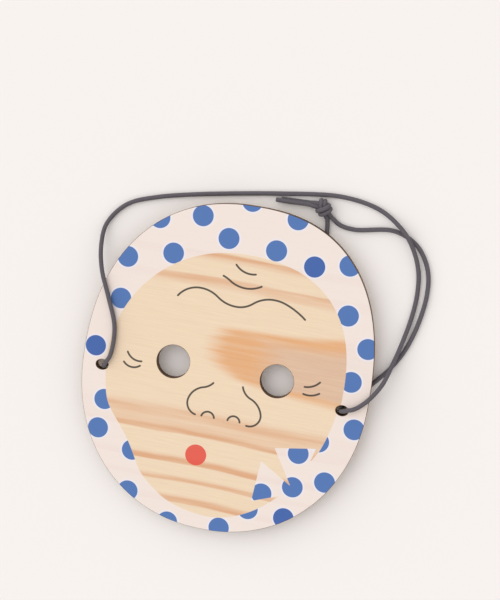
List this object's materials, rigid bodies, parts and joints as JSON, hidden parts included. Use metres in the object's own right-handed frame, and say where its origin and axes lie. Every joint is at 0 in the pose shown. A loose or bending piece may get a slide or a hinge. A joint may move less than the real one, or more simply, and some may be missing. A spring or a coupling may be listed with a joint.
{
  "type": "folk mask",
  "caption": "Flat oval wooden mask with round eye holes, a printed comic face in a dotted kerchief, and an elastic cord that ties round the head.",
  "frame": {"origin": "middle of the board, halfway through its thickness", "axes": "+X to the wearer's left cheek, +Y up to the forehead, +Z out of the printed face"},
  "size_m": [0.1975, 0.2121, 0.0132],
  "materials": {
    "printed_wood": "bare pale softwood with a matt printed face and kerchief, and burnt brown edges where it was cut",
    "elastic_cord": "round braided elastic, dark grey and matt"
  },
  "bodies": {
    "root": {"mask_board": "printed_wood", "strap_cord": "elastic_cord", "strap_knot": "elastic_cord"}
  },
  "joints": []
}
